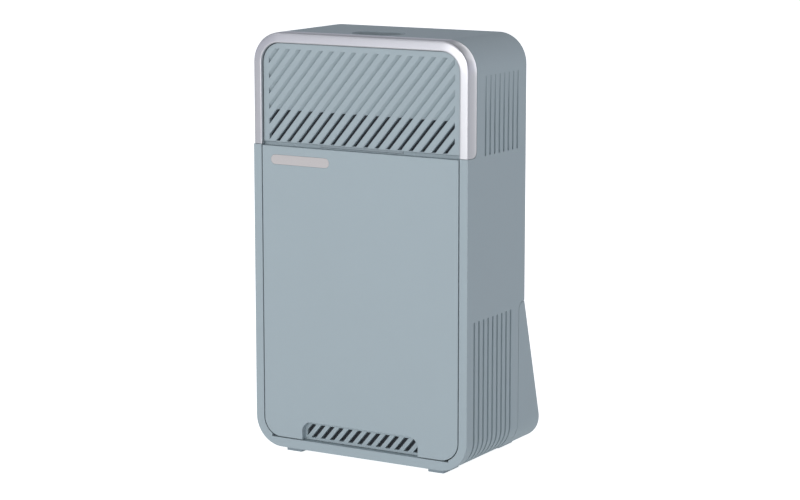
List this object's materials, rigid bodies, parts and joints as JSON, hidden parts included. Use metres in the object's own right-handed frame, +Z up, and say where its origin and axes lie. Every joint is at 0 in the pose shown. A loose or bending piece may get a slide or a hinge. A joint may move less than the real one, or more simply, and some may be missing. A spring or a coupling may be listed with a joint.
{
  "type": "network attached storage",
  "caption": "Upright desktop network storage box with a lift-off front door over stacked drive trays, slanted-slot grilles, an arch trim and a flared rear foot with the ports.",
  "frame": {"origin": "centre of the bounding box's base, on the surface the feet stand on", "axes": "+Z up, -Y out of the front door, +X to the right when facing the door"},
  "size_m": [0.125, 0.0818, 0.2176],
  "materials": {
    "shell": "fine matte moulded texture, blue grey",
    "trim": "satin metallised trim",
    "mark": "pale warm grey print",
    "filter": "black open foam",
    "rubber": "soft grey rubber",
    "magnet": "nickel plated",
    "clear": "clear light guide",
    "steel": "zinc plated sheet",
    "drive_case": "cast and brushed lid",
    "board": "green solder mask",
    "black_plastic": "black moulded",
    "metal_can": "tinned can",
    "heatsink": "extruded",
    "gold": "gold plated",
    "blue_plastic": "blue moulded",
    "screw": "black zinc",
    "button": "moulded button"
  },
  "bodies": {
    "housing": {"main_housing": "shell", "housing_magnets": "magnet", "arch_trim": "trim", "upper_grille": "shell", "upper_filter": "filter", "light_guide": "clear", "led_board": "board", "top_vent": "shell", "rear_panel": "shell", "rear_cover": "shell", "feet": "rubber", "fan_frame": "black_plastic", "drive_cage": "steel", "backplane_board": "board", "drive_sockets": "black_plastic", "mainboard": "board", "board_standoffs": "metal_can", "processor": "black_plastic", "heatsink": "heatsink", "memory_socket": "black_plastic", "memory_module": "board", "wifi_socket": "black_plastic", "wifi_card": "board", "shield_cans": "metal_can", "capacitors": "metal_can", "cell_holder": "black_plastic", "coin_cell": "metal_can", "board_connectors": "black_plastic", "io_board": "board", "ethernet_jacks": "metal_can", "usb_ports": "metal_can", "usb_tongues": "blue_plastic", "dc_inlet": "black_plastic", "io_plate": "black_plastic", "switch_board": "board", "tact_switches": "black_plastic", "antenna_bracket": "black_plastic", "antennas": "board", "fan_lead": "black_plastic", "antenna_leads": "black_plastic", "cage_screws": "screw", "board_screws": "screw", "panel_screws": "screw", "fan_screws": "screw", "cover_screws": "screw"},
    "door": {"front_door": "shell", "door_badge": "mark", "door_magnets": "magnet", "lower_grille": "shell", "lower_filter": "filter"},
    "lower_carrier": {"lower_tray": "steel", "lower_drive": "drive_case", "lower_drive_screws": "screw"},
    "upper_carrier": {"upper_tray": "steel", "upper_drive": "drive_case", "upper_drive_screws": "screw"},
    "fan_rotor": {"fan_rotor": "black_plastic"},
    "power_button": {"power_button": "button"},
    "link_button": {"link_button": "button"},
    "reset_button": {"reset_button": "button"}
  },
  "joints": [
    {"name": "door_lift", "type": "slide", "parent": "housing", "child": "door", "axis": [0, -1, 0], "range_m": [0, 0.06]},
    {"name": "lower_carrier_slide", "type": "slide", "parent": "housing", "child": "lower_carrier", "axis": [-1, 0, 0], "range_m": [0, 0.006]},
    {"name": "upper_carrier_slide", "type": "slide", "parent": "housing", "child": "upper_carrier", "axis": [-1, 0, 0], "range_m": [0, 0.006]},
    {"name": "fan_spin", "type": "hinge", "parent": "housing", "child": "fan_rotor", "pos_m": [0, 0.01, 0.15], "axis": [0, 1, 0], "continuous": true},
    {"name": "power_press", "type": "slide", "parent": "housing", "child": "power_button", "axis": [0, -1, 0], "range_m": [0, 0.0007], "stiffness_N_per_m": 900},
    {"name": "link_press", "type": "slide", "parent": "housing", "child": "link_button", "axis": [0, -1, 0], "range_m": [0, 0.0007], "stiffness_N_per_m": 900},
    {"name": "reset_press", "type": "slide", "parent": "housing", "child": "reset_button", "axis": [0, -1, 0], "range_m": [0, 0.0007], "stiffness_N_per_m": 600}
  ]
}
